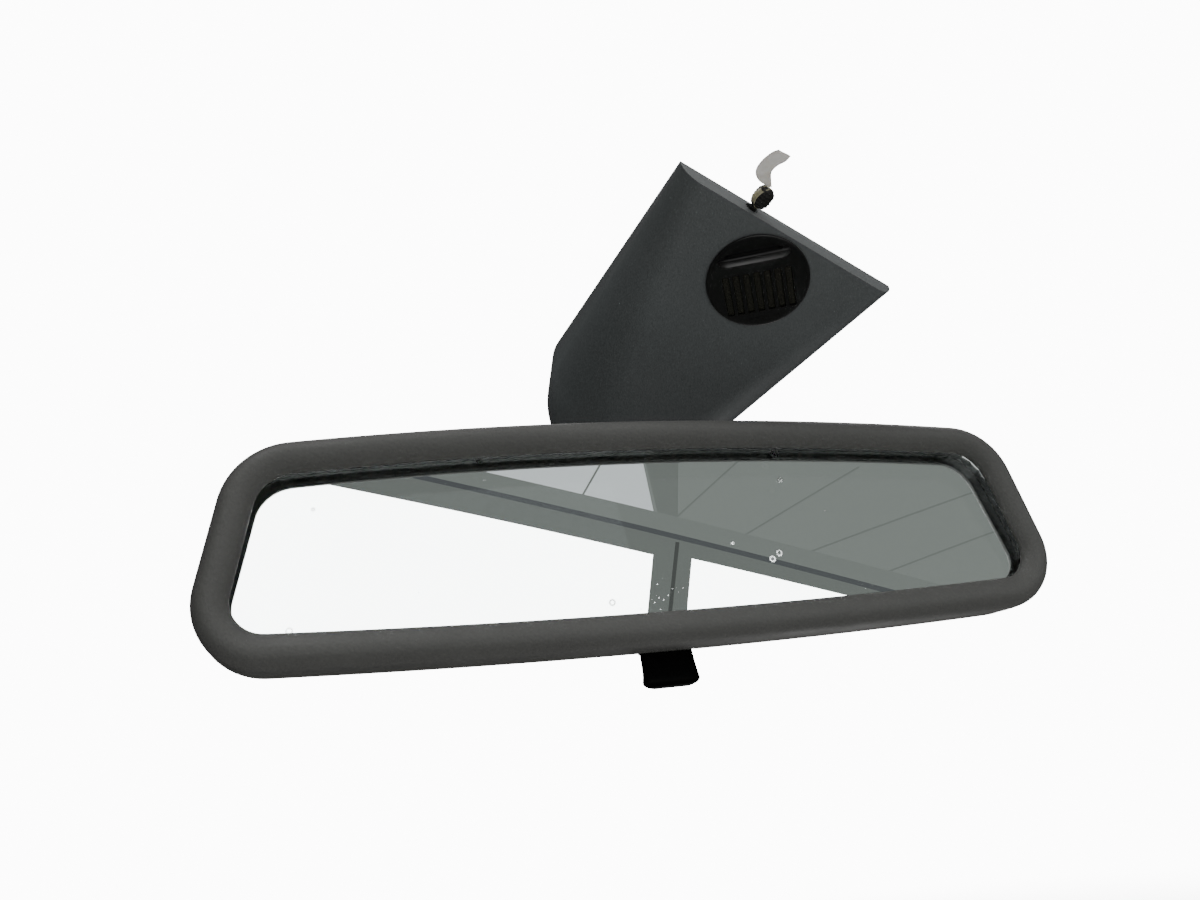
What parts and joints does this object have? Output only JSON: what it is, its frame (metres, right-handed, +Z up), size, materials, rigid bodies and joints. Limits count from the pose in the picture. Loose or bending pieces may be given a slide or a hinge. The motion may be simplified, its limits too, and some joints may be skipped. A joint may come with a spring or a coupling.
{
  "type": "interior rearview mirror",
  "caption": "Day/night car mirror head on a ball joint, with a cranked arm and a wedge-shaped windscreen foot that carries a round slotted vent cap.",
  "frame": {"origin": "middle of the pad face that sits on the windscreen", "axes": "+X along the mirror's long side, to the right as the driver looks at the glass; the glass faces -Y; +Z up"},
  "size_m": [0.2412, 0.1474, 0.1385],
  "materials": {
    "grey_shell": "fine-grained warm grey moulding",
    "grey_foot": "fine-grained cool grey moulding",
    "prism_glass": "polished clear prism",
    "silvering": "silver coat",
    "lever_black": "satin black moulding",
    "vent_black": "semi-gloss black moulding",
    "black_plastic": "black moulding",
    "filter_foam": "open-cell foam",
    "pad_foam": "black acrylic foam tape",
    "cushion_foam": "charcoal foam",
    "zinc_casting": "plain zinc die casting",
    "arm_coating": "black coated zinc casting",
    "steel": "bright steel",
    "plated_steel": "zinc-plated sheet",
    "spring_steel": "blued spring strip",
    "acetal": "natural acetal",
    "thermistor_glass": "dark epoxy bead",
    "circuit_board": "green lacquered board",
    "harness_tape": "black wound tape",
    "clear_strap": "yellowish clear strip",
    "label_paper": "cream white paper, blank"
  },
  "bodies": {
    "foot": {"foot_cover": "grey_foot", "windscreen_pad": "pad_foam", "base_bracket": "zinc_casting", "arm_screw_1": "steel", "arm_screw_2": "steel", "arm_screw_3": "steel", "mirror_arm": "arm_coating", "sensor_body": "black_plastic", "fan_shaft": "steel", "thermistor": "thermistor_glass", "sensor_board": "circuit_board", "sensor_plug": "black_plastic", "sensor_harness": "harness_tape", "harness_knot": "harness_tape", "label_strap": "clear_strap", "label_flag": "label_paper"},
    "vent_cap": {"vent_cap": "vent_black", "filter_foam": "filter_foam"},
    "fan": {"fan_rotor": "acetal"},
    "ball_liner": {"ball_liner": "acetal"},
    "ball_cup": {"ball_cup": "steel"},
    "toggle_bracket": {"toggle_bracket": "zinc_casting", "pivot_pin": "steel", "toggle_spring": "spring_steel"},
    "mirror_head": {"bezel": "grey_shell", "rear_housing": "grey_shell", "mirror_glass": "prism_glass", "silver_backing": "silvering", "glass_cushion_left": "cushion_foam", "glass_cushion_right": "cushion_foam", "carrier_plate": "plated_steel", "carrier_screw_1": "steel", "carrier_screw_2": "steel", "carrier_screw_3": "steel", "carrier_screw_4": "steel", "lever_pin": "steel"},
    "lever": {"day_night_lever": "lever_black"}
  },
  "joints": [
    {"name": "cap_twist", "type": "hinge", "parent": "foot", "child": "vent_cap", "pos_m": [0.00854, -0.05762, -0.00929], "axis": [-0.2666, -0.4536, -0.8504], "range_deg": [-40, 0]},
    {"name": "fan_spin", "type": "hinge", "parent": "foot", "child": "fan", "pos_m": [0.00854, -0.05762, -0.00929], "axis": [-0.2666, -0.4536, -0.8504], "continuous": true},
    {"name": "ball_yaw", "type": "hinge", "parent": "foot", "child": "ball_liner", "pos_m": [-0.02644, -0.02441, -0.07859], "axis": [0, 0, 1], "range_deg": [-20, 20]},
    {"name": "ball_roll", "type": "hinge", "parent": "ball_liner", "child": "ball_cup", "pos_m": [-0.02644, -0.02441, -0.07859], "axis": [0, 1, 0], "range_deg": [-12, 12]},
    {"name": "ball_pitch", "type": "hinge", "parent": "ball_cup", "child": "toggle_bracket", "pos_m": [-0.02644, -0.02441, -0.07859], "axis": [1, 0, 0], "range_deg": [-15, 15]},
    {"name": "head_tilt", "type": "hinge", "parent": "toggle_bracket", "child": "mirror_head", "pos_m": [-0.02644, -0.02741, -0.06009], "axis": [1, 0, 0], "range_deg": [0, 4]},
    {"name": "lever_swing", "type": "hinge", "parent": "mirror_head", "child": "lever", "pos_m": [-0.02644, -0.02641, -0.10109], "axis": [1, 0, 0], "range_deg": [0, 24]}
  ],
  "couplings": [
    {"joint": "lever_swing", "follows": "head_tilt", "ratio": 6}
  ]
}
